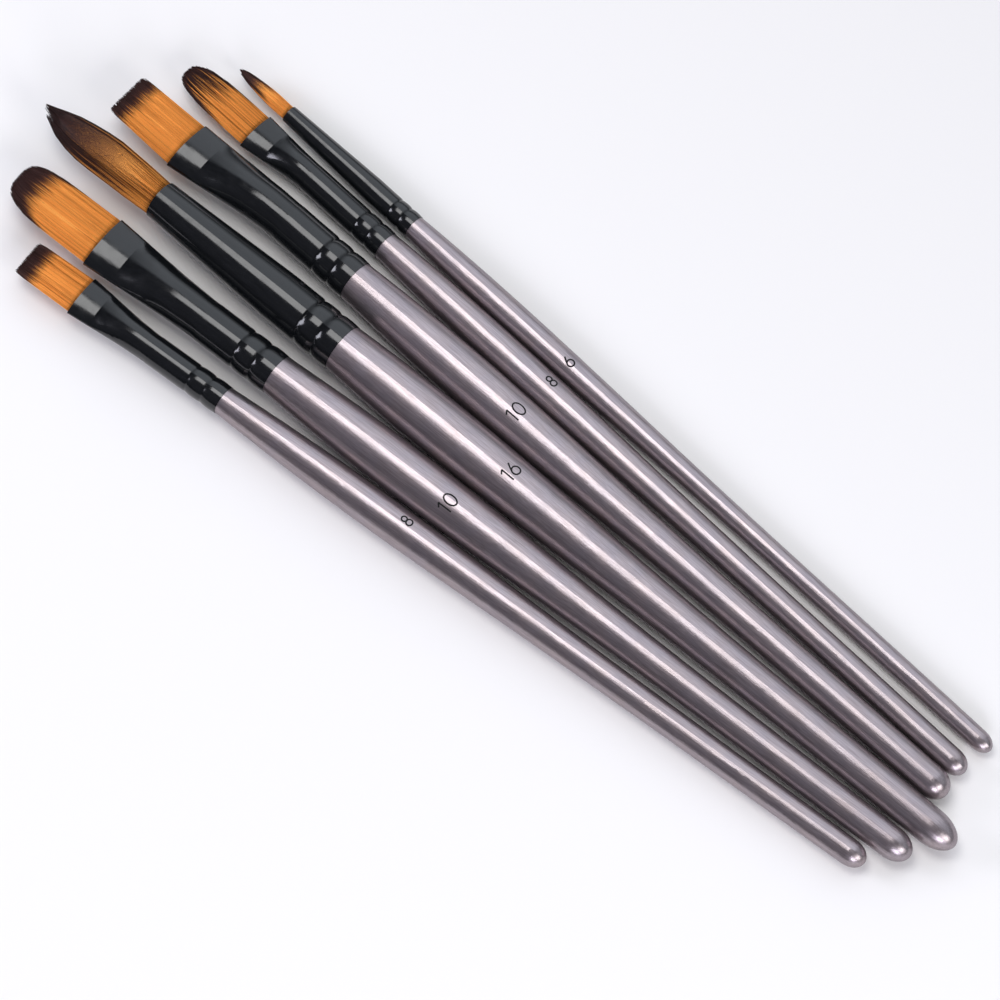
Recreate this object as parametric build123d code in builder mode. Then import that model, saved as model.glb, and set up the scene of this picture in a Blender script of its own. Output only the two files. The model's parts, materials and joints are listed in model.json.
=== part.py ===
from build123d import *
from dataclasses import dataclass
from math import atan2, cos, degrees, pi, radians, sin, sqrt
import os

# A matched set of six artist's paint brushes, laid side by side in a fan with every tuft at
# the same end: two flats, two filberts and two rounds.
#
# A brush is a turned hardwood handle whose tenon is crimped into a thin metal ferrule.  The
# filaments are one bundle: its root is glued inside the ferrule's mouth, in front of a plug
# of glue, and its free tuft stands out of the mouth.
#
# Each brush is drawn along its own axis: x runs from the ferrule's mouth (x = 0) back to the
# handle's rounded end, and the tuft points towards -x.  y is across the brush and z is up.
# In the row frame the tufts point towards -X and the largest brush lies along X.
# All lengths are millimetres and all angles are degrees.

# ---- dimensions shared by every brush ---------------------------------------------------
BELLY_STATION = 33.0       # thickest place of the handle, behind the ferrule
WAIST_STATION = 100.0      # where the long taper has mostly run out
FERRULE_WALL = 0.35
RIM_STEP = 0.2             # the ferrule's rear rim stands this far out of the paint
TENON_GAP = 0.02           # glue film between tenon and ferrule
TENON_AHEAD = 6.0          # the tenon reaches this far in front of the crimps
PLUG_LENGTH = 5.0          # glue behind the filaments
CRIMP_DEPTH = 0.027        # depth of a crimped groove, per millimetre of ferrule diameter
BEAD_CREST = 0.06          # the bead between two grooves bulges this far out
BEAD_SHOULDER = 0.20       # share of a bead's length in which it rises from its groove
SHOULDER_DROP = 0.12       # the bead's front shoulder is this share of the groove's depth down
RIM_DROP = 0.3             # and the rear rim is this share of it down
SHOULDER_SLOPE = 0.045     # rise of the handle per millimetre, where it leaves the ferrule
HEEL_SLOPE = -0.008        # and where it meets the rounded end
HAIR_GAP = 0.05            # the tuft is this much inside the mouth's edge, where it leaves
SEAM_STEP = 0.08           # a pressed front meets the drawn throat this much smaller
OVAL_SPARE = 0.02          # an oval outline is this much wider than thick, even where round
PRESSED_FULLNESS = 0.42    # end radius of the pressed mouth's oval, per half its thickness
ROUNDED_FULLNESS = 0.66    # the same where the ferrule has come out of the press
TUFT_FULLNESS = 0.24       # the same for the tuft that fills the mouth
THROAT_RUN = 0.8           # share of the flare in which the thickness grows back to the tube's
EDGE_THICKNESS = 0.9       # working edge of a flat or filbert tuft
TUFT_SWELL = 0.35          # how much thicker the filaments spread halfway
CORNER_LOSS = 0.22         # share of a flat tuft's width that its rounded corners take away
TIP_LOSS = 0.97            # and a filbert's
ROUND_SWELL = 0.19         # how much wider than its base a large round tuft's belly is
ROUND_BELLY = 0.50         # and how far along the tuft that belly is
SMALL_ROUND = 8.0          # rounds with a smaller mouth than this are slimmer:
SMALL_SWELL = 0.10
SMALL_BELLY = 0.27
ROUND_SLOPE = 0.08         # a round tuft widens at this slope as it leaves the mouth
POINT_STATION = 0.80       # a round tuft turns in to its point here,
POINT_WIDTH = 0.56         # where it is this wide next to its base, plus the swell
POINT_RADIUS = 0.12        # radius left at the very point
POINT_SLOPE = -0.043       # slope of the outline at the point, per millimetre of mouth

# The whole fan is shifted in plan so that its bounding box is centred on the origin.
FAN_CENTRE = (-150.23, 2.85)


@dataclass
class Brush:
    """One brush of the set: its driving sizes, and where its axis lies in plan."""

    name: str
    shape: str             # "round", "flat" or "filbert"
    tuft: float            # free length of the filaments
    mouth: float           # ferrule width at the mouth
    thickness: float       # ferrule thickness at the mouth, the same as mouth on a round
    pressed: float         # length of the flat that the press leaves behind the mouth
    flare: float           # station where the pressed or tapered front has become a cylinder
    ferrule: float         # ferrule length
    throat: float          # ferrule diameter at the crimps
    bead: float            # length of each of the two crimped beads
    handle: float          # ferrule to rounded end
    belly: float           # handle diameters, from the front to the back
    waist: float
    heel: float
    nose: float            # length of the rounded end
    heading: float         # direction of the axis in plan, from +X
    end: tuple             # plan position of the rounded end, from the largest brush's end
    sway: float = 0.0      # sideways offset of the mouth from the handle's axis
    dome: float = 0.0      # share of a filbert tuft's length that its rounded tip takes up
    bluntness: float = 2.0     # exponent of that tip's superellipse; 2 is an ellipse

    @property
    def mouth_to_end(self):
        return self.ferrule + self.handle

    @property
    def front_groove(self):
        return self.ferrule - 2 * self.bead

    @property
    def root(self):
        """Length of filament that is held inside the ferrule."""
        return self.pressed if self.shape != "round" else 0.7 * self.mouth


BRUSHES = [
    Brush("flat_8", "flat", 17.7, 11.6, 3.3, 6.4, 24.0, 46.3, 8.0, 4.9,
          199.3, 9.8, 8.5, 6.8, 4.6, 3.46, (-14.2, -17.45), 0.35),
    Brush("filbert_10", "filbert", 28.4, 15.5, 4.8, 8.6, 35.0, 57.3, 11.3, 5.4,
          200.6, 13.2, 10.3, 8.2, 5.8, 1.98, (-6.7, -9.12), 0.0, 0.70, 3.4),
    Brush("round_16", "round", 39.6, 10.5, 10.5, 0.0, 40.0, 61.9, 13.5, 5.6,
          199.0, 14.9, 11.4, 9.3, 8.0, 0.0, (0.0, 0.0)),
    Brush("flat_10", "flat", 21.5, 14.6, 5.0, 7.6, 34.0, 57.2, 11.4, 5.2,
          199.2, 13.2, 10.2, 8.2, 4.9, -2.03, (-9.8, 9.05), -2.3),
    Brush("filbert_8", "filbert", 24.7, 11.1, 3.6, 6.6, 19.5, 46.2, 8.0, 4.4,
          200.3, 9.5, 7.9, 6.5, 4.5, -3.56, (-10.15, 16.62), -0.8, 0.86, 3.1),
    Brush("round_6", "round", 17.9, 4.8, 4.8, 0.0, 30.0, 45.1, 6.7, 3.5,
          199.7, 7.7, 6.1, 5.3, 4.1, -3.62, (-8.95, 25.35)),
]


# ---- outlines, in a brush's own x and radius --------------------------------------------
def draw_crimps(brush, inset):
    """The two beads from the flare to the rear rim, as a chain of curves, drawn inset."""
    radius = brush.throat / 2 - inset
    depth = CRIMP_DEPTH * brush.throat
    groove = brush.front_groove
    rim = radius - RIM_DROP * depth
    rise = BEAD_SHOULDER * brush.bead
    Line((brush.flare, radius), (groove - rise, radius))
    TangentArc((groove - rise, radius), (groove, radius - depth), tangent=(1, 0))
    for start in (groove, groove + brush.bead):
        rear = rim if start > groove else radius - depth
        Spline(
            (start, radius - depth),
            (start + rise, radius - SHOULDER_DROP * depth),
            (start + brush.bead / 2, radius + BEAD_CREST),
            (start + brush.bead - rise, radius),
            (start + brush.bead, rear),
        )
    return rim


def draw_handle(brush):
    """Tenon, shoulder, belly, long taper and rounded end, closed along the axis."""
    length = brush.handle
    shoulder = brush.ferrule
    front = brush.front_groove - TENON_AHEAD
    inset = FERRULE_WALL + TENON_GAP
    tenon = brush.throat / 2 - inset - CRIMP_DEPTH * brush.throat
    start = (shoulder, brush.throat / 2 - RIM_STEP)
    heel = (shoulder + length - brush.nose, brush.heel / 2)
    Line((front, 0), (front, tenon))
    Line((front, tenon), (shoulder, tenon))
    Line((shoulder, tenon), start)
    Spline(
        start,
        (shoulder + BELLY_STATION, brush.belly / 2),
        (shoulder + WAIST_STATION, brush.waist / 2),
        heel,
        tangents=[(1, SHOULDER_SLOPE), (1, HEEL_SLOPE)],
    )
    EllipticalCenterArc((heel[0], 0), brush.nose, brush.heel / 2, start_angle=0, arc_size=90)
    Line((shoulder + length, 0), (front, 0))


def lean_of(brush):
    """Angle of the axis when the handle lies on its belly and its heel."""
    run = brush.handle - brush.nose - BELLY_STATION
    return degrees(atan2(brush.belly / 2 - brush.heel / 2, run))


def mouth_height(brush):
    """Height of the axis at the mouth with the handle's lowest point at z = 0."""
    lean = radians(lean_of(brush))
    with BuildLine() as outline:
        draw_handle(brush)
    samples = [edge.position_at(i / 60) for edge in outline.edges() for i in range(61)]
    return max(p.X * sin(lean) + p.Y * cos(lean) for p in samples)


# ---- placing a brush ----------------------------------------------------------------------
class Seat:
    """The planes of one brush as it lies in the fan."""

    def __init__(self, brush):
        heading = radians(brush.heading)
        lean = radians(lean_of(brush))
        self.along = Vector(cos(heading) * cos(lean), sin(heading) * cos(lean), -sin(lean))
        self.across = Vector(-sin(heading), cos(heading), 0)
        end = Vector(brush.end[0] - FAN_CENTRE[0], brush.end[1] - FAN_CENTRE[1], 0)
        run = self.along * brush.mouth_to_end
        self.mouth = Vector(end.X - run.X, end.Y - run.Y, mouth_height(brush))
        self.axis = Axis(self.mouth, self.along)
        # side: sketch x along the brush, sketch y up
        self.side = Plane(self.mouth, x_dir=self.along, z_dir=self.across * -1)

    def station(self, x, y=0.0):
        """The plane across the brush at x: sketch x across, sketch y up."""
        centre = self.mouth + self.along * x + self.across * y
        return Plane(centre, x_dir=self.across, z_dir=self.along)


# ---- ferrule ------------------------------------------------------------------------------
def draw_oval(width, thickness, fullness, inset=0.0):
    """A smooth oval of four arcs, drawn inset: crowned above and below, with round ends."""
    half = width / 2 - inset
    height = thickness / 2 - inset
    end = fullness * thickness / 2 - inset
    crown = ((half - end) ** 2 + height ** 2 - end ** 2) / (2 * (height - end))
    turn = atan2(crown - height, half - end)
    x = half - end + end * cos(turn)
    y = end * sin(turn)
    ThreePointArc((-x, y), (0, height), (x, y))
    ThreePointArc((x, y), (half, 0), (x, -y))
    ThreePointArc((x, -y), (0, -height), (-x, -y))
    ThreePointArc((-x, -y), (-half, 0), (-x, y))


def ferrule_section(brush, x):
    """Width, thickness, fullness and sideways offset of the pressed ferrule at x."""
    u = x / brush.flare
    run = brush.flare - brush.pressed
    v = min(1.0, max(0.0, (x - brush.pressed) / (THROAT_RUN * run)))
    tube = brush.throat - SEAM_STEP
    widening = (1 - u) ** 2 * (1 + u)
    width = tube + OVAL_SPARE + (brush.mouth - tube) * widening
    thickness = tube - (tube - brush.thickness) * (1 - v) ** 2
    fullness = PRESSED_FULLNESS + (ROUNDED_FULLNESS - PRESSED_FULLNESS) * min(1.0, 2 * v)
    return width, thickness, fullness, brush.sway * widening


def ferrule_core(brush, seat, inset):
    """The ferrule as a full solid, inset by its wall to make the cavity."""
    stations = [brush.pressed + (brush.flare - brush.pressed) * i / 5 for i in range(6)]
    with BuildPart() as core:
        if brush.shape != "round":
            for run in ([0.0, brush.pressed], stations):
                for x in run:
                    width, thickness, fullness, sway = ferrule_section(brush, x)
                    with BuildSketch(seat.station(x, sway)):
                        with BuildLine():
                            draw_oval(width, thickness, fullness, inset)
                        make_face()
                loft()
        with BuildSketch(seat.side):
            with BuildLine():
                rear = draw_crimps(brush, inset)
                front = brush.throat / 2 - inset
                Line((brush.ferrule, rear), (brush.ferrule, 0))
                if brush.shape == "round":
                    mouth = brush.mouth / 2 - inset
                    Polyline((brush.ferrule, 0), (0, 0), (0, mouth), (brush.flare, front))
                else:
                    Polyline((brush.ferrule, 0), (brush.flare, 0), (brush.flare, front))
            make_face()
        revolve(axis=seat.axis)
    return core


def slab_between(part, seat, start, stop):
    """The piece of a solid that lies between two stations."""
    with BuildPart() as piece:
        add(part)
        split(bisect_by=seat.station(start), keep=Keep.TOP)
        split(bisect_by=seat.station(stop), keep=Keep.BOTTOM)
    return piece


# ---- tuft ----------------------------------------------------------------------------------
def tuft_section(brush, f):
    """Width and thickness of a flat or filbert tuft at the fraction f of its length."""
    base_width = brush.mouth - 2 * (FERRULE_WALL + HAIR_GAP)
    base_thickness = brush.thickness - 2 * (FERRULE_WALL + HAIR_GAP)
    swell = TUFT_SWELL * sin(f * pi) ** 2
    thickness = base_thickness + (EDGE_THICKNESS - base_thickness) * f ** 1.5 + swell
    if brush.shape == "flat":
        width = base_width * (1 - CORNER_LOSS * f ** 5)
    else:
        turn = max(0.0, (f - 1 + brush.dome) / brush.dome)
        width = base_width * (1 - TIP_LOSS * turn ** brush.bluntness) ** (1 / brush.bluntness)
    return width, min(thickness, width - 0.1)


def make_tuft(brush, seat):
    with BuildPart() as tuft:
        if brush.shape == "round":
            base = brush.mouth / 2 - FERRULE_WALL - HAIR_GAP
            large = brush.mouth > SMALL_ROUND
            swell = ROUND_SWELL if large else SMALL_SWELL
            fullest = ROUND_BELLY if large else SMALL_BELLY
            tip = (-brush.tuft, POINT_RADIUS)
            with BuildSketch(seat.side):
                with BuildLine():
                    Spline(
                        (0, base),
                        (-fullest * brush.tuft, base * (1 + swell)),
                        (-POINT_STATION * brush.tuft, (POINT_WIDTH + swell) * base),
                        tip,
                        tangents=[(-1, ROUND_SLOPE), (-1, POINT_SLOPE * brush.mouth)],
                    )
                    Polyline(tip, (-brush.tuft, 0), (0, 0), (0, base))
                make_face()
            revolve(axis=seat.axis)
        else:
            for f in (0.0, 0.25, 0.5, 0.7, 0.85, 0.95, 1.0):
                width, thickness = tuft_section(brush, f)
                with BuildSketch(seat.station(-f * brush.tuft, brush.sway)):
                    with BuildLine():
                        draw_oval(width, thickness, TUFT_FULLNESS)
                    make_face()
            loft()
    return tuft


# ---- building the set -----------------------------------------------------------------------
def make_brush(brush):
    """All the pieces of one brush, by name."""
    seat = Seat(brush)
    outside = ferrule_core(brush, seat, 0.0)
    cavity = ferrule_core(brush, seat, FERRULE_WALL)
    with BuildPart() as ferrule:
        add(outside.part)
        add(cavity.part, mode=Mode.SUBTRACT)
    with BuildPart() as handle:
        with BuildSketch(seat.side):
            with BuildLine():
                draw_handle(brush)
            make_face()
        revolve(axis=seat.axis)
    return {
        "handle": handle,
        "ferrule": ferrule,
        "tuft": make_tuft(brush, seat),
        "tuft_root": slab_between(cavity.part, seat, 0.0, brush.root),
        "glue_plug": slab_between(cavity.part, seat, brush.root, brush.root + PLUG_LENGTH),
    }


if __name__ == "__main__":
    os.makedirs("parts", exist_ok=True)
    for brush in BRUSHES:
        for piece, built in make_brush(brush).items():
            built.part.label = f"{brush.name}_{piece}"
            export_step(built.part, f"parts/{built.part.label}.step")
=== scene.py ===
"""Looks for the set of six paint brushes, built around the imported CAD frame.

A brush has its own x, y and z: x runs from the ferrule's mouth (x = 0) back to the handle's
rounded end, y is across the brush and z is up.  The tuft lies at negative x.  Everything is
in metres, and MM turns millimetres into them.
"""
import json
import math

import bmesh
import bpy
import numpy as np
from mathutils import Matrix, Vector
from mathutils.bvhtree import BVHTree


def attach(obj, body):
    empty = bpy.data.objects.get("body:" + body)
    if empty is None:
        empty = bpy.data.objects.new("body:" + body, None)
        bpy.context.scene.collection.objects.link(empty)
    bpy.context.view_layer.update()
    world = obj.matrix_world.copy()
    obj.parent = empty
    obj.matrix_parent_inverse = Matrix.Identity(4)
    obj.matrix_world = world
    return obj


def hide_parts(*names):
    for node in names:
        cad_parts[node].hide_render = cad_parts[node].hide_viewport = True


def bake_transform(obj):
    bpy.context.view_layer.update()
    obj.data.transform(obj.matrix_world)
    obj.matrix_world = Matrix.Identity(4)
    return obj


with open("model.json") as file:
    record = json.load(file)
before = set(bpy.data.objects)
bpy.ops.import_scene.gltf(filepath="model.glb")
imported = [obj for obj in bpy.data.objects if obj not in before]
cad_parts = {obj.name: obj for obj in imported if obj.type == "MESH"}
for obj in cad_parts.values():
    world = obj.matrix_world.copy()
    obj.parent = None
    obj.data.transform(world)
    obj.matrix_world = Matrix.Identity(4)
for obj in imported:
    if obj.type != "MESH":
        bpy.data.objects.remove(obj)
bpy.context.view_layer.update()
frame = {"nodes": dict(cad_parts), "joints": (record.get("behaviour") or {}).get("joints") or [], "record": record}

MM = 0.001
BRUSHES = ["flat_8", "filbert_10", "round_16", "flat_10", "filbert_8", "round_6"]

# ---- camera -------------------------------------------------------------------------------
CAMERA_TARGET = Vector((6.0, -5.72, 0.0)) * MM
CAMERA_AZIMUTH = 40.64
CAMERA_ELEVATION = 70.0
CAMERA_DISTANCE = 1300 * MM
VIEW_WIDTH = 251.5 * MM          # width of the picture at the target
SENSOR_WIDTH = 36                # in millimetres, as the camera's own settings count

# ---- measuring the CAD nodes --------------------------------------------------------------
RAY_START = 20 * MM              # rays towards a handle start this far from its axis
MOUTH_PLANE = 0.02 * MM          # a tuft's points this close to the mouth belong to its base


# =============================================================================================
# The brushes as the frame gives them
# =============================================================================================
class Seat:
    """Where one brush lies, and the sizes that its CAD nodes have."""

    def __init__(self, brush):
        joint = next(j for j in frame["joints"] if j["name"] == f"{brush}_tuft_flex")
        self.brush = brush
        self.shape = brush.split("_")[0]
        self.mouth = np.array(joint["pos_m"])
        self.across = np.array(joint["axis"])
        clip = next(m for m in frame["record"]["mounts"] if m["name"] == f"{brush}_ferrule_clip")
        self.along = -np.array(clip["axis"])
        self.up = np.cross(self.along, self.across)
        self.heading = math.atan2(self.along[1], self.along[0])
        # a pressed mouth may stand a little off the handle's axis
        on_axis = np.array(clip["pos_m"])
        self.axis_point = on_axis - self.along * ((on_axis - self.mouth) @ self.along)
        tuft = self.to_local(self.vertices("tuft"))
        base = tuft[tuft[:, 0] > -MOUTH_PLANE]
        self.tuft_length = -tuft[:, 0].min()
        self.half_width = np.abs(base[:, 1]).max()
        self.half_thickness = np.abs(base[:, 2]).max()
        self.ferrule_end = self.to_local(self.vertices("ferrule"))[:, 0].max()

    def vertices(self, piece):
        """The points of one of the brush's CAD nodes."""
        mesh = frame["nodes"][f"{self.brush}_{piece}"].data
        co = np.empty(len(mesh.vertices) * 3)
        mesh.vertices.foreach_get("co", co)
        return co.reshape(-1, 3)

    def to_local(self, points):
        """From the shared frame to the brush's own x, y and z."""
        return (points - self.mouth) @ np.array([self.along, self.across, self.up]).T

    def to_frame(self, points):
        """From the brush's own x, y and z to the shared frame."""
        return self.mouth + points @ np.array([self.along, self.across, self.up])

    def handle_surface(self):
        """The handle's surface, for rays to meet."""
        mesh = frame["nodes"][f"{self.brush}_handle"].data
        corners = [v.co for v in mesh.vertices]
        return BVHTree.FromPolygons(corners, [p.vertices for p in mesh.polygons])

    def on_handle(self, surface, x, angle, lift):
        """The point that stands so far off the handle at station x, at that angle from the top."""
        centre = self.axis_point + self.along * x
        outward = self.across * math.sin(angle) + self.up * math.cos(angle)
        start = centre + outward * RAY_START
        _, _, _, distance = surface.ray_cast(Vector(start), Vector(-outward))
        return centre + outward * (RAY_START - distance + lift)


SEATS = {brush: Seat(brush) for brush in BRUSHES}


# =============================================================================================
# Materials
# =============================================================================================
def new_material(name):
    """A material, with its nodes, its links and its shader."""
    material = bpy.data.materials.new(name)
    material.use_nodes = True
    nodes = material.node_tree.nodes
    return material, nodes, material.node_tree.links, nodes["Principled BSDF"]


def new_node(nodes, kind, **settings):
    """A node with the properties and socket values given by name."""
    node = nodes.new("ShaderNode" + kind)
    for key, value in settings.items():
        name = key.replace("_", " ")
        if name in node.inputs:
            node.inputs[name].default_value = value
        else:
            setattr(node, key, value)
    return node


def brush_space(nodes, links, heading, stretch):
    """Object coordinates turned to the brush's axis, with x squeezed to draw marks out along it."""
    place = new_node(nodes, "TexCoord")
    turn = new_node(nodes, "Mapping", vector_type="POINT")
    turn.inputs["Rotation"].default_value = (0, 0, -heading)
    squeeze = new_node(nodes, "Mapping", vector_type="POINT")
    squeeze.inputs["Scale"].default_value = (1 / stretch, 1, 1)
    links.new(place.outputs["Object"], turn.inputs["Vector"])
    links.new(turn.outputs["Vector"], squeeze.inputs["Vector"])
    return squeeze.outputs["Vector"]


def noise(nodes, links, vector, size, detail=2.0, roughness=0.5):
    """Noise whose marks are about that size, in metres."""
    node = new_node(nodes, "TexNoise", Scale=1 / size, Detail=detail, Roughness=roughness)
    links.new(vector, node.inputs["Vector"])
    return node.outputs["Fac"]


def ramp(nodes, links, factor, stops, interpolation="LINEAR"):
    """The colour that the factor has on a ramp of (position, colour) stops."""
    node = nodes.new("ShaderNodeValToRGB")
    node.color_ramp.interpolation = interpolation
    elements = node.color_ramp.elements
    while len(elements) < len(stops):
        elements.new(0.5)
    for element, (position, colour) in zip(elements, stops):
        element.position = position
        element.color = (*colour, 1.0)
    links.new(factor, node.inputs["Fac"])
    return node.outputs["Color"]


def grey(value):
    return (value, value, value)


def remap(nodes, links, value, low, high):
    """Noise spread over low to high: nearly all of its values lie between 0.3 and 0.7."""
    node = new_node(nodes, "MapRange", From_Min=0.3, From_Max=0.7, To_Min=low, To_Max=high)
    links.new(value, node.inputs["Value"])
    return node.outputs["Result"]


def mix_colour(nodes, links, factor, first, second, blend_type="MIX"):
    """Two colours mixed.  Each argument may be a value or another node's output."""
    node = nodes.new("ShaderNodeMix")
    node.data_type = "RGBA"
    node.blend_type = blend_type
    sockets = [s for s in node.inputs if s.type == "RGBA"]
    for value, socket in ((first, sockets[0]), (second, sockets[1])):
        if isinstance(value, tuple):
            socket.default_value = (*value, 1.0)
        else:
            links.new(value, socket)
    if isinstance(factor, float):
        node.inputs[0].default_value = factor
    else:
        links.new(factor, node.inputs[0])
    return [s for s in node.outputs if s.type == "RGBA"][0]


def maths(nodes, links, operation, first, second=None, third=None):
    """The result of a math node on numbers or other nodes' outputs."""
    node = nodes.new("ShaderNodeMath")
    node.operation = operation
    for socket, value in zip(node.inputs, (first, second, third)):
        if value is None:
            continue
        if isinstance(value, (int, float)):
            socket.default_value = value
        else:
            links.new(value, socket)
    return node.outputs["Value"]


def bump(nodes, links, height, distance, strength, below=None):
    """A normal bumped by that height, on top of the normal below."""
    node = new_node(nodes, "Bump", Strength=strength, Distance=distance)
    links.new(height, node.inputs["Height"])
    if below is not None:
        links.new(below, node.inputs["Normal"])
    return node.outputs["Normal"]


def lacquer_material(seat):
    """Pearlescent taupe lacquer: fine streaks drawn along the handle under a clear gloss."""
    material, nodes, links, shader = new_material(f"{seat.brush}_lacquer")
    drawn = brush_space(nodes, links, seat.heading, stretch=30.0)
    plain = brush_space(nodes, links, seat.heading, stretch=1.0)
    streaks = noise(nodes, links, drawn, 0.25 * MM, detail=3.0)
    fine = noise(nodes, links, drawn, 0.09 * MM, detail=2.0)
    cloud = noise(nodes, links, plain, 6.0 * MM, detail=2.0)
    tone = ramp(
        nodes, links, streaks,
        [(0.26, (0.272, 0.228, 0.240)), (0.74, (0.432, 0.372, 0.390))],
    )
    warmth = ramp(
        nodes, links, cloud,
        [(0.35, (0.94, 0.95, 0.97)), (0.65, (1.0, 0.985, 0.97))],
    )
    colour = mix_colour(nodes, links, 1.0, tone, warmth, "MULTIPLY")
    links.new(colour, shader.inputs["Base Color"])
    links.new(remap(nodes, links, fine, 0.29, 0.40), shader.inputs["Roughness"])
    drawn_marks = bump(nodes, links, streaks, 0.03 * MM, 0.55)
    links.new(bump(nodes, links, fine, 0.015 * MM, 0.35, drawn_marks), shader.inputs["Normal"])
    shader.inputs["Metallic"].default_value = 0.92
    shader.inputs["Specular Tint"].default_value = (0.42, 0.40, 0.42, 1.0)
    shader.inputs["IOR"].default_value = 1.5
    shader.inputs["Coat Weight"].default_value = 0.55
    shader.inputs["Coat Roughness"].default_value = 0.13
    return material


def ferrule_material(seat):
    """Gloss black coating on drawn metal, with faint handling scuffs."""
    material, nodes, links, shader = new_material(f"{seat.brush}_black_gloss")
    drawn = brush_space(nodes, links, seat.heading, stretch=12.0)
    plain = brush_space(nodes, links, seat.heading, stretch=1.0)
    scuff = noise(nodes, links, drawn, 0.35 * MM, detail=4.0, roughness=0.6)
    cloud = noise(nodes, links, plain, 2.5 * MM, detail=3.0)
    ripple = noise(nodes, links, drawn, 1.1 * MM, detail=2.0)
    colour = ramp(
        nodes, links, scuff,
        [(0.35, (0.0035, 0.004, 0.0046)), (0.72, (0.0075, 0.0082, 0.0095))],
    )
    links.new(colour, shader.inputs["Base Color"])
    links.new(remap(nodes, links, cloud, 0.10, 0.19), shader.inputs["Roughness"])
    waves = bump(nodes, links, ripple, 0.04 * MM, 0.4)
    links.new(bump(nodes, links, scuff, 0.01 * MM, 0.2, waves), shader.inputs["Normal"])
    shader.inputs["IOR"].default_value = 1.55
    return material


def resin_material():
    """Amber glue, slightly cloudy."""
    material, nodes, links, shader = new_material("setting_resin")
    place = new_node(nodes, "TexCoord").outputs["Object"]
    cloud = noise(nodes, links, place, 1.2 * MM, detail=3.0)
    colour = ramp(nodes, links, cloud, [(0.3, (0.34, 0.17, 0.05)), (0.7, (0.48, 0.27, 0.09))])
    links.new(colour, shader.inputs["Base Color"])
    links.new(remap(nodes, links, cloud, 0.18, 0.35), shader.inputs["Roughness"])
    links.new(bump(nodes, links, cloud, 0.05 * MM, 0.3), shader.inputs["Normal"])
    return material


def root_material(seat):
    """The clamped end of the filaments: the same golden strands, wet with glue."""
    material, nodes, links, shader = new_material(f"{seat.brush}_glued_filaments")
    drawn = brush_space(nodes, links, seat.heading, stretch=40.0)
    strands = noise(nodes, links, drawn, 0.12 * MM, detail=2.0)
    colour = ramp(nodes, links, strands, [(0.35, (0.22, 0.085, 0.02)), (0.65, (0.50, 0.22, 0.055))])
    links.new(colour, shader.inputs["Base Color"])
    links.new(remap(nodes, links, strands, 0.30, 0.5), shader.inputs["Roughness"])
    links.new(bump(nodes, links, strands, 0.05 * MM, 0.5), shader.inputs["Normal"])
    return material


def ink_material():
    """Black printing ink, very slightly uneven."""
    material, nodes, links, shader = new_material("printed_ink")
    place = new_node(nodes, "TexCoord").outputs["Object"]
    grain = noise(nodes, links, place, 0.12 * MM, detail=3.0)
    colour = ramp(nodes, links, grain, [(0.3, grey(0.006)), (0.75, grey(0.022))])
    links.new(colour, shader.inputs["Base Color"])
    links.new(remap(nodes, links, grain, 0.55, 0.75), shader.inputs["Roughness"])
    shader.inputs["Specular IOR Level"].default_value = 0.12
    return material


# Where a tuft turns from gold to dark, as a share of its length measured from each
# filament's own tip: the middle of the change, how far strands differ, and its softness.
DIPPED = {
    "flat_8": (0.25, 0.13, 0.10),
    "filbert_10": (0.24, 0.13, 0.08),
    "round_16": (0.58, 0.62, 0.12),
    "flat_10": (0.20, 0.15, 0.08),
    "filbert_8": (0.32, 0.40, 0.08),
    "round_6": (0.38, 0.30, 0.12),
}
# Darker strands: where a noise from 0 to 1 turns from streak to plain, as the two ends of that
# change, and the streak's tint.  Two tufts are strongly streaked, and the others faintly.
STREAKS = {
    "round_16": (0.40, 0.54, (0.22, 0.16, 0.12)),
    "filbert_8": (0.38, 0.50, (0.34, 0.26, 0.20)),
}
FAINT_STREAKS = (0.30, 0.47, (0.50, 0.40, 0.32))

COLUMNS = 64                # strands take their tone from one of this many columns of the UV map
STREAKY_SPREAD = 9          # how many columns to each side the strands of one clump stray
EVEN_SPREAD = 3


def filament_material(seat):
    """Golden synthetic filament dipped dark at the tip.

    The UV map has a strand's tone column in u, and in v the distance from the strand's own
    tip as a share of the tuft's length.
    """
    middle, spread, softness = DIPPED[seat.brush]
    material, nodes, links, shader = new_material(f"{seat.brush}_filament")
    uv = new_node(nodes, "UVMap", uv_map="OFBake").outputs["UV"]
    split = new_node(nodes, "SeparateXYZ")
    links.new(uv, split.inputs["Vector"])
    column, from_tip = split.outputs["X"], split.outputs["Y"]
    strand = new_node(nodes, "TexNoise", noise_dimensions="1D", Scale=float(COLUMNS), Detail=1.0)
    links.new(column, strand.inputs["W"])
    hue = new_node(nodes, "TexNoise", noise_dimensions="1D", Scale=COLUMNS * 1.7, Detail=1.0)
    links.new(column, hue.inputs["W"])
    place = maths(nodes, links, "MULTIPLY_ADD", strand.outputs["Fac"], 2 * spread, middle - spread)
    low = maths(nodes, links, "SUBTRACT", place, softness)
    depth = maths(nodes, links, "SUBTRACT", from_tip, low)
    change = maths(nodes, links, "DIVIDE", depth, 2 * softness)
    dyed = ramp(
        nodes, links, change,
        [(0.0, (0.040, 0.016, 0.014)), (0.35, (0.100, 0.036, 0.022)), (0.7, (0.50, 0.188, 0.040)),
         (1.0, (0.90, 0.358, 0.071))],
        "EASE",
    )
    streaked, plain, streak = STREAKS.get(seat.brush, FAINT_STREAKS)
    tint = ramp(
        nodes, links, hue.outputs["Fac"],
        [(streaked, streak), (plain, grey(1.0)), (0.75, (1.10, 1.14, 1.20))],
    )
    links.new(mix_colour(nodes, links, 1.0, dyed, tint, "MULTIPLY"), shader.inputs["Base Color"])
    links.new(remap(nodes, links, hue.outputs["Fac"], 0.45, 0.62), shader.inputs["Roughness"])
    shader.inputs["Specular IOR Level"].default_value = 0.14
    return material


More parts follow.
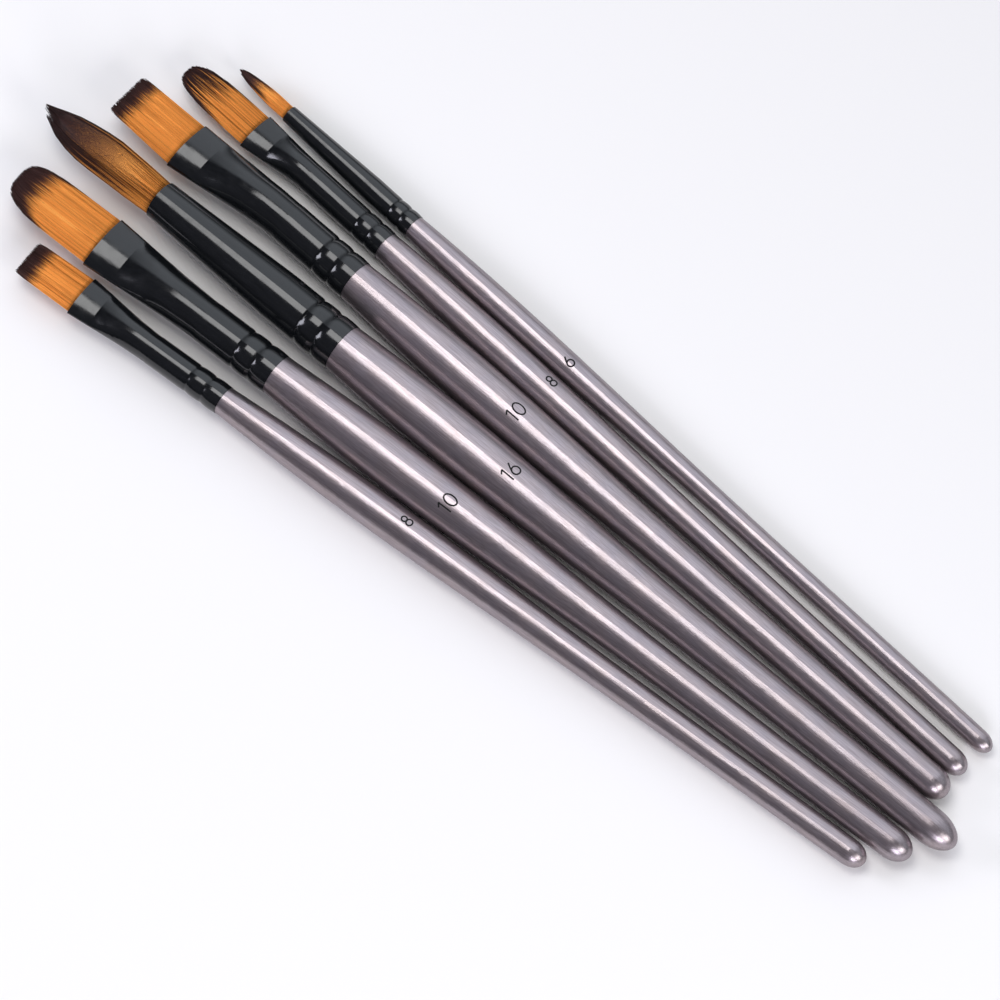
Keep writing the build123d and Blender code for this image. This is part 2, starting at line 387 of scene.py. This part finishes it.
# =============================================================================================
# Tufts
# =============================================================================================
STRAND_SPACING = 0.165 * MM
STRAND_SCATTER = 0.03 * MM   # how far roots stray from their regular packing
STRAND_RADIUS = 0.085 * MM
STRAND_SIDES = 3
STRAND_RINGS = 10            # cross-sections along a strand
LAST_RING = 0.45             # radius of the last ring, per the strand's
STRAND_POINT = 0.25 * MM     # the point stands this far beyond the last ring
SHELL_DEPTH = 0.62 * MM      # strands are modelled one by one down to this depth
RAGGED = 0.28 * MM           # how uneven the ends of a pressed tuft's strands are
LEAST_REACH = 0.1            # the shortest strand, as a share of the tuft's length

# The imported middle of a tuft, under its strands
CORE_WIDTH = 0.963           # per the width of the tuft's outline
CORE_SIDE_GAP = 0.3 * MM     # and this much narrower on each side of the base
CORE_TOP_GAP = 0.28 * MM     # how far below the outline it lies
CORE_THINNEST = 0.35         # but at least this share of the outline's thickness
CORE_REACH = 0.975           # as a share of the tuft's length
CORE_AROUND = 96             # points round each of its sections

# Pressed tufts
TIP_THICKNESS = 0.9 * MM
THINNING = 1.5               # exponent of the change from the base's thickness to the tip's
SWELL = 0.35 * MM            # how much thicker the tuft is halfway along
END_RADIUS = 0.24            # end radius of the base's oval, per half its thickness

# Outline of a flat or filbert tuft: the share of its length in which the sides round off
# towards the tip, the share of its half width that is rounded off, the exponent of that
# superellipse, and how much narrower the whole tuft gets towards the tip.
ROUNDING = {
    "flat_8": (0.07, 0.16, 2.0, 0.02),
    "filbert_10": (0.70, 1.0, 3.4, 0.0),
    "flat_10": (0.09, 0.14, 2.0, 0.06),
    "filbert_8": (0.86, 1.0, 3.1, 0.0),
}

# Outline of a round tuft, from the mouth over the belly to the point: the share of its length,
# and its width there per the mouth's.
ROUND_OUTLINE = {
    "round_16": [
        (0.0, 1.0), (0.20, 1.10), (0.43, 1.16), (0.54, 1.145), (0.645, 1.06), (0.70, 0.98),
        (0.75, 0.88), (0.806, 0.77), (0.86, 0.56), (0.914, 0.28), (1.0, 0.02),
    ],
    "round_6": [
        (0.0, 1.0), (0.20, 1.05), (0.34, 1.06), (0.46, 1.0), (0.58, 0.92), (0.70, 0.80),
        (0.82, 0.62), (0.94, 0.33), (1.0, 0.02),
    ],
}

# Three tufts lean to one side: the two filberts more and more towards the tip, and the large
# round in a shallow bow whose point turns back a little.
LEAN = {"filbert_10": 0.45 * MM, "filbert_8": -0.35 * MM}
BOW = 0.5 * MM
BOW_START, BOW_LENGTH = 0.45, 0.5
POINT_TURN = 0.2 * MM

# A round tuft's outer strands on the -y side are shorter, and on the large round they stand
# off, so that its point is split.
OUTER_SIDE = -0.45           # they start beyond this share of the half width
OUTER_REACH = (0.80, 0.95)
INNER_REACH = (0.88, 1.0)
SPLIT = 0.75 * MM
SPLIT_START = 0.55

# Strands draw together into clumps
CLUMP_WIDTH = 0.75 * MM      # along the mouth's edge
LEAST_CLUMPS = 8
CLUMP_UNEVENNESS = 0.2
CLUMP_PULL = {"flat": 0.12, "filbert": 0.09, "round": 0.42}      # 1 closes the clump's tip
STRAND_WANDER = 0.05 * MM
CLUMP_WANDER = 0.10 * MM
CLUMP_SINK = 0.10            # the deepest clump lies this much nearer the middle
FLOOR_GAP = 0.3 * MM         # no strand's centre comes nearer to the floor


def rounding(seat, f):
    """What the rounded corners leave of the width at the fraction f of the tuft's length."""
    dome, depth, exponent, _ = ROUNDING[seat.brush]
    turn = np.clip((f - 1 + dome) / dome, 0, 1)
    return 1 - depth * (1 - (1 - turn ** exponent) ** (1 / exponent))


def taper(seat, f):
    """What the even narrowing of a pressed tuft leaves of its width."""
    *_, narrowing = ROUNDING[seat.brush]
    return 1 - narrowing * f


def round_scale(seat, f):
    """Width of a round tuft at the fraction f of its length, per its width at the mouth."""
    stations, widths = zip(*ROUND_OUTLINE[seat.brush])
    # averaging neighbours takes the corners off the straight runs between stations
    fine = np.linspace(0, 1, 60)
    smooth = np.interp(fine, stations, widths)
    for _ in range(3):
        smooth[1:-1] = (smooth[:-2] + 2 * smooth[1:-1] + smooth[2:]) / 4
    return np.interp(f, fine, smooth)


def tuft_scale(seat, f):
    """Width and thickness of the tuft's outline at the fraction f, per those of its base."""
    if seat.shape == "round":
        return round_scale(seat, f), round_scale(seat, f)
    base = 2 * seat.half_thickness
    swell = SWELL * np.sin(f * np.pi) ** 2
    thick = (base + (TIP_THICKNESS - base) * f ** THINNING + swell) / base
    return taper(seat, f) * rounding(seat, f), thick


def strand_pull(seat, f):
    """How far out a pressed tuft's strands lie at the fraction f, per where they start."""
    return taper(seat, f) * np.sqrt(rounding(seat, f))


def reach_at(seat, side):
    """Where a strand of a pressed tuft ends that starts at this share of the half width."""
    f = np.linspace(0.0, 1.0, 400)
    return np.interp(-np.abs(side), -np.sqrt(rounding(seat, f)), f)


def lean(seat, f):
    """How far the tuft has drifted towards +y at the fraction f, in metres."""
    if seat.brush == "round_16":
        bow = np.sin(np.pi * np.clip((f - BOW_START) / BOW_LENGTH, 0, 1))
        return POINT_TURN * f ** 8 - BOW * bow
    return LEAN.get(seat.brush, 0.0) * f ** 3


def half_height(seat, y):
    """Half the thickness of the tuft's base at that distance from its middle."""
    half, height = seat.half_width, seat.half_thickness
    y = np.minimum(np.abs(y), half)
    if seat.shape == "round":
        return height * np.sqrt(np.maximum(1 - (y / half) ** 2, 0))
    # a pressed oval: one wide crown arc that runs on into a small arc at each end
    end = END_RADIUS * height
    reach = half - end
    crown = (reach ** 2 + height ** 2 - end ** 2) / (2 * (height - end))
    drop = crown - height
    on_crown = y * drop <= reach * np.sqrt(crown ** 2 - y ** 2)
    rounded = np.sqrt(np.maximum(end ** 2 - (y - reach) ** 2, 0))
    return np.where(on_crown, np.sqrt(crown ** 2 - y ** 2) - drop, rounded)


def root_points(seat, rng):
    """Strand roots, hexagonally packed, that lie in the outer shell of the base section."""
    width, thick = seat.half_width, seat.half_thickness
    step = STRAND_SPACING
    rows = np.arange(-thick, thick + step, step * math.sqrt(3) / 2)
    points = []
    for i, z in enumerate(rows):
        shift = 0.5 * step * (i % 2)
        points += [(y + shift, z) for y in np.arange(-width, width + step, step)]
    points = np.array(points)
    if seat.shape == "round":
        edge_distance = thick - np.hypot(points[:, 0], points[:, 1])
    else:
        below = half_height(seat, points[:, 0]) - np.abs(points[:, 1])
        edge_distance = np.minimum(below, width - np.abs(points[:, 0]))
    keep = (edge_distance > STRAND_RADIUS) & (edge_distance < SHELL_DEPTH)
    points = points[keep]
    return points + rng.normal(0, STRAND_SCATTER, points.shape)


def is_outer(seat, points):
    """Which strands of a round tuft start well out on its -y side."""
    return points[:, 0] < OUTER_SIDE * seat.half_width


def stand_off(seat, points, f):
    """How far the large round's outer strands stand off, in metres."""
    if seat.brush != "round_16":
        return 0.0 * f
    opening = np.clip((f - SPLIT_START) / (1 - SPLIT_START), 0, 1) ** 2
    return np.where(is_outer(seat, points)[:, None], -SPLIT * opening, 0.0)


def strand_reach(seat, points, rng):
    """The fraction of the tuft's length at which each strand ends."""
    if seat.shape == "round":
        outer = is_outer(seat, points)[:, None]
        shortest, longest = np.where(outer, OUTER_REACH, INNER_REACH).T
        return rng.uniform(shortest, longest)
    ragged = np.abs(rng.normal(0, RAGGED, len(points))) / seat.tuft_length
    return np.maximum(reach_at(seat, points[:, 0] / seat.half_width) - ragged, LEAST_REACH)


def strand_paths(seat, points, reach):
    """Centre line of every strand: an array of strand x ring x (x, y, z)."""
    f = reach[:, None] * np.linspace(0, 1, STRAND_RINGS)[None, :]
    wide, thick = tuft_scale(seat, f)
    if seat.shape != "round":
        wide = strand_pull(seat, f)
    x = -seat.tuft_length * f
    y = points[:, :1] * wide + lean(seat, f) + stand_off(seat, points, f)
    z = points[:, 1:] * thick
    return np.stack([x, y, z], axis=2)


def gather(seat, paths, points, rng):
    """Draw strands together towards the tip and let them wander: returns each one's clump."""
    count = len(points)
    perimeter = 4 * (seat.half_width - seat.half_thickness) + 2 * math.pi * seat.half_thickness
    clumps = max(LEAST_CLUMPS, int(perimeter / CLUMP_WIDTH))
    centres = points[rng.choice(count, clumps, replace=False)]
    distance = np.linalg.norm(points[:, None] - centres[None], axis=2)
    distance *= rng.uniform(1 - CLUMP_UNEVENNESS, 1 + CLUMP_UNEVENNESS, clumps)
    member = distance.argmin(axis=1)
    # each of these changes grows along the strand, from nothing at its root
    f = -paths[:, :, 0] / seat.tuft_length
    amount = CLUMP_PULL[seat.shape] * f ** 1.6
    middle = np.zeros((clumps, STRAND_RINGS, 2))
    for clump in range(clumps):
        middle[clump] = paths[member == clump][:, :, 1:].mean(axis=0)
    paths[:, :, 1:] += (middle[member] - paths[:, :, 1:]) * amount[:, :, None]
    wander = rng.normal(0, STRAND_WANDER, (count, 1, 2)) * (f ** 1.3)[:, :, None]
    clump_wander = rng.normal(0, CLUMP_WANDER, (clumps, 1, 2))[member] * (f ** 2)[:, :, None]
    paths[:, :, 1:] += wander + clump_wander
    sunk = rng.uniform(0, 1, clumps)[member][:, None] * np.minimum(1, 3 * f)
    paths[:, :, 2] *= 1 - CLUMP_SINK * sunk
    paths[:, :, 2] = np.maximum(paths[:, :, 2], FLOOR_GAP - seat.mouth[2])
    return member


def strand_tubes(seat, paths, tones):
    """Vertices, faces and (u, v) of strands that end in a point."""
    count, rings, _ = paths.shape
    sides = STRAND_SIDES
    turn = np.arange(sides) * 2 * np.pi / sides
    ring = np.stack([np.zeros(sides), np.cos(turn), np.sin(turn)], axis=1)
    radius = np.full(rings, STRAND_RADIUS)
    radius[-1] *= LAST_RING
    body = paths[:, :, None, :] + ring[None, None] * radius[None, :, None, None]
    tip = paths[:, -1] - np.array([STRAND_POINT, 0, 0])
    point = rings * sides
    block = point + 1
    verts = np.concatenate([body.reshape(count, point, 3), tip[:, None]], axis=1)
    faces = [tuple(range(sides))]
    for r in range(rings - 1):
        for k in range(sides):
            a, b = r * sides + k, r * sides + (k + 1) % sides
            faces.append((a, a + sides, b + sides, b))
    last = point - sides
    for k in range(sides):
        faces.append((last + k, point, last + (k + 1) % sides))
    from_tip = (paths[:, :, 0] - tip[:, None, 0]) / seat.tuft_length
    u = (tones[:, None] + np.arange(1, sides + 1) / (sides + 1)) / COLUMNS
    uv = np.empty((count, block, 2))
    uv[:, :-1, 0] = np.tile(u, (1, rings))
    uv[:, :-1, 1] = np.repeat(from_tip, sides, axis=1)
    uv[:, -1, 0] = (tones + 0.5) / COLUMNS
    uv[:, -1, 1] = 0.0
    all_faces = [tuple(i * block + v for v in face) for i in range(count) for face in faces]
    return verts.reshape(-1, 3), all_faces, uv.reshape(-1, 2)


def core_surface(seat):
    """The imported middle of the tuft, one closed skin just under the strands."""
    around = CORE_AROUND
    # sections lie closer together near the tip, where the outline rounds off
    stations = np.concatenate([np.linspace(0, 0.88, 24), np.linspace(0.90, CORE_REACH, 8)])
    angle = np.arange(around) * 2 * np.pi / around
    across = seat.half_width * np.cos(angle)
    outline = np.column_stack([across, np.sign(np.sin(angle)) * half_height(seat, across)])
    inside = CORE_WIDTH * (1 - CORE_SIDE_GAP / seat.half_width)
    verts = []
    for f in stations:
        wide, thick = tuft_scale(seat, f)
        below = max(CORE_THINNEST, 1 - CORE_TOP_GAP / (seat.half_thickness * thick))
        section = outline * [wide * inside, thick * below] + [lean(seat, f), 0.0]
        verts.append(np.column_stack([np.full(around, -seat.tuft_length * f), section]))
    verts = np.concatenate(verts)
    faces = [tuple(range(around))]
    for r in range(len(stations) - 1):
        for k in range(around):
            a, b = r * around + k, r * around + (k + 1) % around
            faces.append((a, a + around, b + around, b))
    top = (len(stations) - 1) * around
    faces.append(tuple(top + k for k in reversed(range(around))))
    return verts, faces


def core_end(seat, verts):
    """Distance of each core point from the tip of the strands over it, as a share of the tuft."""
    f = -verts[:, 0] / seat.tuft_length
    if seat.shape == "round":
        return 1 - f
    side = np.abs(verts[:, 1]) / (seat.half_width * strand_pull(seat, f))
    return np.maximum(reach_at(seat, side) - f, 0)


def tuft_mesh(seat, rng):
    """Strands and core together: vertices, faces, and each vertex's place in the UV map."""
    points = root_points(seat, rng)
    reach = strand_reach(seat, points, rng)
    paths = strand_paths(seat, points, reach)
    member = gather(seat, paths, points, rng)
    clump_tone = rng.integers(0, COLUMNS, member.max() + 1)
    spread = STREAKY_SPREAD if seat.brush in STREAKS else EVEN_SPREAD
    tones = (clump_tone[member] + rng.integers(-spread, spread + 1, len(points))) % COLUMNS
    verts, faces, uv = strand_tubes(seat, paths, tones)
    core_verts, core_faces = core_surface(seat)
    shade = rng.integers(0, COLUMNS, len(core_verts))
    core_uv = np.column_stack([(shade + 0.5) / COLUMNS, core_end(seat, core_verts)])
    first = len(verts)
    faces += [tuple(first + v for v in face) for face in core_faces]
    return np.concatenate([verts, core_verts]), faces, np.concatenate([uv, core_uv])


def new_object(name, verts, faces, material):
    """A mesh object in the scene, made of one material."""
    mesh = bpy.data.meshes.new(name)
    mesh.from_pydata(np.asarray(verts).tolist(), [], faces)
    mesh.materials.append(material)
    piece = bpy.data.objects.new(name, mesh)
    bpy.context.scene.collection.objects.link(piece)
    return piece


def make_tuft(seat, rng):
    """The filaments, which stand for the tuft's CAD solid."""
    verts, faces, uv = tuft_mesh(seat, rng)
    tuft = new_object(
        f"{seat.brush}_filaments", seat.to_frame(verts), faces, filament_material(seat)
    )
    mesh = tuft.data
    layer = mesh.uv_layers.new(name="OFBake")
    index = np.empty(len(mesh.loops), int)
    mesh.loops.foreach_get("vertex_index", index)
    layer.data.foreach_set("uv", uv[index].ravel())
    mesh.polygons.foreach_set("use_smooth", np.ones(len(mesh.polygons), bool))
    mesh.update()
    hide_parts(f"{seat.brush}_tuft")
    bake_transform(tuft)


# =============================================================================================
# Printed size numbers
# =============================================================================================
INK_LINE = 0.42 * MM
INK_THICKNESS = 0.03 * MM
STROKE_SPACING = 0.12 * MM   # the points of a stroke are no further apart
DIGIT_HEIGHT = {1: 3.3 * MM, 2: 4.0 * MM}       # by how many digits the number has
DIGIT_GAP = 0.27             # per a digit's height
WELD_DISTANCE = 0.001 * MM

# Distance of the number's middle behind the ferrule in millimetres, and its place round the
# handle from the top, in degrees towards +y.
NUMBER_PLACES = {
    "flat_8": (57.3, 14.0),
    "filbert_10": (56.5, -12.0),
    "round_16": (55.1, 6.7),
    "flat_10": (55.3, 0.0),
    "filbert_8": (57.0, 22.0),
    "round_6": (54.8, 3.0),
}


def ellipse(cx, cy, rx, ry):
    """A closed stroke round an ellipse."""
    angles = np.radians(np.linspace(0, 360, 41))
    return np.column_stack([cx + rx * np.cos(angles), cy + ry * np.sin(angles)])


def digit_strokes(digit):
    """Centre lines of a plain thin digit: height 1, x from its left edge.  Also its width."""
    if digit == "1":
        return [np.array([(0.0, 0.80), (0.22, 0.98), (0.24, 0.98), (0.24, 0.0)])], 0.24
    if digit == "0":
        return [ellipse(0.32, 0.5, 0.30, 0.48)], 0.64
    if digit == "6":
        bowl = ellipse(0.32, 0.31, 0.29, 0.29)
        stem = np.array([(0.065, 0.44), (0.20, 0.72), (0.36, 1.0)])
        return [bowl, stem], 0.64
    if digit == "8":
        return [ellipse(0.30, 0.26, 0.28, 0.25), ellipse(0.30, 0.74, 0.22, 0.22)], 0.60
    raise ValueError(digit)


def resample(stroke, spacing):
    """The same stroke with points no further apart than the spacing."""
    points = [stroke[:1]]
    for a, b in zip(stroke[:-1], stroke[1:]):
        steps = max(1, int(math.ceil(np.linalg.norm(b - a) / spacing)))
        share = np.linspace(0, 1, steps + 1)[1:, None]
        points.append(a + (b - a) * share)
    return np.concatenate(points)


def ribbon(stroke, line):
    """Left and right edge of a stroke of that width, and whether it closes on itself."""
    closed = np.allclose(stroke[0], stroke[-1])
    ahead = np.gradient(stroke, axis=0)
    if closed:
        ahead[0] = ahead[-1] = stroke[1] - stroke[-2]
    ahead /= np.linalg.norm(ahead, axis=1)[:, None]
    side = np.column_stack([-ahead[:, 1], ahead[:, 0]]) * line / 2
    return stroke + side, stroke - side, closed


def ribbon_faces(first, count, closed):
    """Faces of a thin ribbon.  Its points are four rows: left and right above, then below."""
    top_left, top_right, low_left, low_right = (first + row * count for row in range(4))
    faces = []
    for i in range(count - 1):
        j = i + 1
        faces.append((top_left + i, top_right + i, top_right + j, top_left + j))
        faces.append((low_left + i, low_left + j, low_right + j, low_right + i))
        faces.append((top_left + i, top_left + j, low_left + j, low_left + i))
        faces.append((top_right + i, low_right + i, low_right + j, top_right + j))
    if not closed:
        end = count - 1
        faces.append((top_left, low_left, low_right, top_right))
        faces.append((top_left + end, top_right + end, low_right + end, low_left + end))
    return faces


def weld(mesh):
    """Join the ends of closed strokes, and turn all faces outwards."""
    bm = bmesh.new()
    bm.from_mesh(mesh)
    bmesh.ops.remove_doubles(bm, verts=bm.verts, dist=WELD_DISTANCE)
    bmesh.ops.recalc_face_normals(bm, faces=bm.faces)
    bm.to_mesh(mesh)
    bm.free()


def make_number(seat, material):
    """The size number, a thin print wrapped round the handle with its top towards the tuft."""
    text = seat.brush.split("_")[1]
    height = DIGIT_HEIGHT[len(text)]
    behind, turned = NUMBER_PLACES[seat.brush]
    station = seat.ferrule_end + behind * MM
    surface = seat.handle_surface()
    radius = (seat.on_handle(surface, station, 0.0, 0.0) - seat.axis_point) @ seat.up
    gap = DIGIT_GAP * height
    widths = [digit_strokes(digit)[1] * height for digit in text]
    cursor = -(sum(widths) + gap * (len(text) - 1)) / 2
    verts = []
    faces = []
    for digit, width in zip(text, widths):
        for stroke in digit_strokes(digit)[0]:
            left, right, closed = ribbon(resample(stroke * height, STROKE_SPACING), INK_LINE)
            faces += ribbon_faces(len(verts), len(left), closed)
            for lift in (INK_THICKNESS, -INK_THICKNESS):
                for reading, rise in np.concatenate([left, right]):
                    x = station + height / 2 - rise
                    angle = math.radians(turned) + (cursor + reading) / radius
                    verts.append(seat.on_handle(surface, x, angle, lift))
        cursor += width + gap
    number = new_object(f"{seat.brush}_number", verts, faces, material)
    weld(number.data)
    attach(number, seat.brush)


# =============================================================================================
# Stage
# =============================================================================================
FLOOR_SIZE = 3.0             # from the middle to each side
FLOOR_DROP = 0.02 * MM       # keeps the floor off the brushes' lowest lines
SIDE_LIGHT_COLOUR = (0.88, 0.88, 1.0)


def make_floor():
    corners = [(-1, -1, 0), (1, -1, 0), (1, 1, 0), (-1, 1, 0)]
    material, _, _, shader = new_material("pale_floor")
    shader.inputs["Base Color"].default_value = (0.905, 0.885, 0.872, 1)
    shader.inputs["Roughness"].default_value = 0.7
    shader.inputs["Specular IOR Level"].default_value = 0.2
    floor = new_object("floor", np.array(corners) * FLOOR_SIZE, [(0, 1, 2, 3)], material)
    floor.location.z = -FLOOR_DROP


def area_light(name, location, aim, size, radiance, colour=(1.0, 1.0, 1.0)):
    """A rectangular softbox of that width and height, turned towards the aim."""
    light = bpy.data.lights.new(name, "AREA")
    light.shape = "RECTANGLE"
    light.size, light.size_y = size
    light.energy = radiance * light.size * light.size_y * math.pi
    light.color = colour
    softbox = bpy.data.objects.new(name, light)
    bpy.context.scene.collection.objects.link(softbox)
    softbox.location = location
    direction = Vector(aim) - Vector(location)
    softbox.rotation_euler = direction.to_track_quat("-Z", "Y").to_euler()


def make_lights():
    """A strip over the ferrules, a softbox off the handles' ends, and one to each side."""
    area_light(
        "overhead_strip", (-0.21, 0.014, 0.9), aim=(-0.21, 0.014, 0.0),
        size=(0.5, 0.378), radiance=5.2,
    )
    area_light(
        "end_softbox", (0.862, -0.151, 0.53), aim=(0.15, 0.0, 0.0),
        size=(0.40, 0.40), radiance=6.0,
    )
    area_light(
        "tuft_side_softbox", (-0.95, -0.50, 0.50), aim=(-0.1, 0.0, 0.0),
        size=(0.45, 0.45), radiance=8.6, colour=SIDE_LIGHT_COLOUR,
    )
    area_light(
        "end_side_softbox", (0.80, -0.75, 0.50), aim=(0.0, 0.0, 0.0),
        size=(0.45, 0.45), radiance=8.4, colour=SIDE_LIGHT_COLOUR,
    )


def make_world():
    """A dark side towards -Y, and towards +Y a bright one, which is brightest in a band round
    the brushes' middle and fades near the horizon.  The camera sees a plain grey instead."""
    world = bpy.data.worlds.new("studio")
    bpy.context.scene.world = world
    world.use_nodes = True
    nodes, links = world.node_tree.nodes, world.node_tree.links
    background = nodes["Background"]
    place = new_node(nodes, "TexCoord")
    split = new_node(nodes, "SeparateXYZ")
    links.new(place.outputs["Generated"], split.inputs["Vector"])
    x, y, z = split.outputs
    side = ramp(nodes, links, y, [(0.21, (0.070, 0.070, 0.085)), (0.35, (0.85, 0.91, 1.0))])
    high = ramp(nodes, links, z, [(0.10, grey(0.15)), (0.42, grey(1.0))])
    off_axis = maths(nodes, links, "ABSOLUTE", maths(nodes, links, "ADD", x, 0.22))
    band = ramp(nodes, links, off_axis, [(0.28, grey(1.0)), (0.55, grey(0.42))])
    side = mix_colour(nodes, links, 1.0, side, high, "MULTIPLY")
    side = mix_colour(nodes, links, 1.0, side, band, "MULTIPLY")
    path = new_node(nodes, "LightPath")
    colour = mix_colour(nodes, links, path.outputs["Is Camera Ray"], side, (0.60, 0.60, 0.61))
    links.new(colour, background.inputs["Color"])
    background.inputs["Strength"].default_value = 1.46


def make_camera():
    camera = bpy.data.objects.new("camera", bpy.data.cameras.new("camera"))
    bpy.context.scene.collection.objects.link(camera)
    azimuth, elevation = math.radians(CAMERA_AZIMUTH), math.radians(CAMERA_ELEVATION)
    back = Vector((
        math.sin(azimuth) * math.cos(elevation),
        -math.cos(azimuth) * math.cos(elevation),
        math.sin(elevation),
    ))
    camera.location = CAMERA_TARGET + back * CAMERA_DISTANCE
    camera.rotation_mode = "QUATERNION"
    camera.rotation_quaternion = (-back).to_track_quat("-Z", "Y")
    camera.data.sensor_width = SENSOR_WIDTH
    camera.data.lens = SENSOR_WIDTH * CAMERA_DISTANCE / VIEW_WIDTH
    camera.data.clip_start, camera.data.clip_end = 0.01, 100
    bpy.context.scene.camera = camera


# =============================================================================================
# Build
# =============================================================================================
def give(node, material):
    """Give a CAD node its material."""
    mesh = frame["nodes"][node].data
    mesh.materials.clear()
    mesh.materials.append(material)


rng = np.random.default_rng(6)
resin = resin_material()
ink = ink_material()
for brush, seat in SEATS.items():
    give(f"{brush}_handle", lacquer_material(seat))
    give(f"{brush}_ferrule", ferrule_material(seat))
    give(f"{brush}_tuft_root", root_material(seat))
    give(f"{brush}_glue_plug", resin)
    make_tuft(seat, rng)
    make_number(seat, ink)

make_floor()
make_world()
make_lights()
make_camera()
bpy.context.scene.view_settings.view_transform = "Standard"
